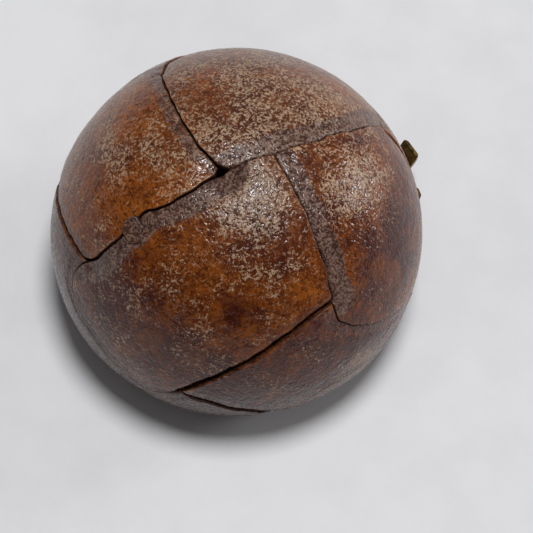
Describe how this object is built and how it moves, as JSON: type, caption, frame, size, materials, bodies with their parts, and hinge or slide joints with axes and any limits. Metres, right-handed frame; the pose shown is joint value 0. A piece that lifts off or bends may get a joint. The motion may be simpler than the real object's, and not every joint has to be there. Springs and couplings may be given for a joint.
{
  "type": "woven leather button",
  "caption": "Ball-shaped coat button of flat leather strips woven over a turned core, with a clawed brass back cup and a thread loop sunk in a well.",
  "frame": {"origin": "middle of the flat brass back, at its outer face", "axes": "+Z along the button's axis from the back to the dome, with the four panels round the middle of the dome pointing along +X, +Y, -X and -Y, and the wire of the thread loop along X"},
  "size_m": [0.028, 0.028, 0.0211],
  "materials": {
    "leather": "worn and dusty",
    "core_wood": "turned",
    "felt": "pressed felt",
    "brass": "dull and tarnished"
  },
  "bodies": {
    "root": {"strip_a": "leather", "strip_b": "leather", "strip_c": "leather", "strip_d": "leather", "core": "core_wood", "packing_ring": "felt", "clinch_washer": "brass", "back_cup": "brass", "thread_loop": "brass"}
  },
  "joints": []
}
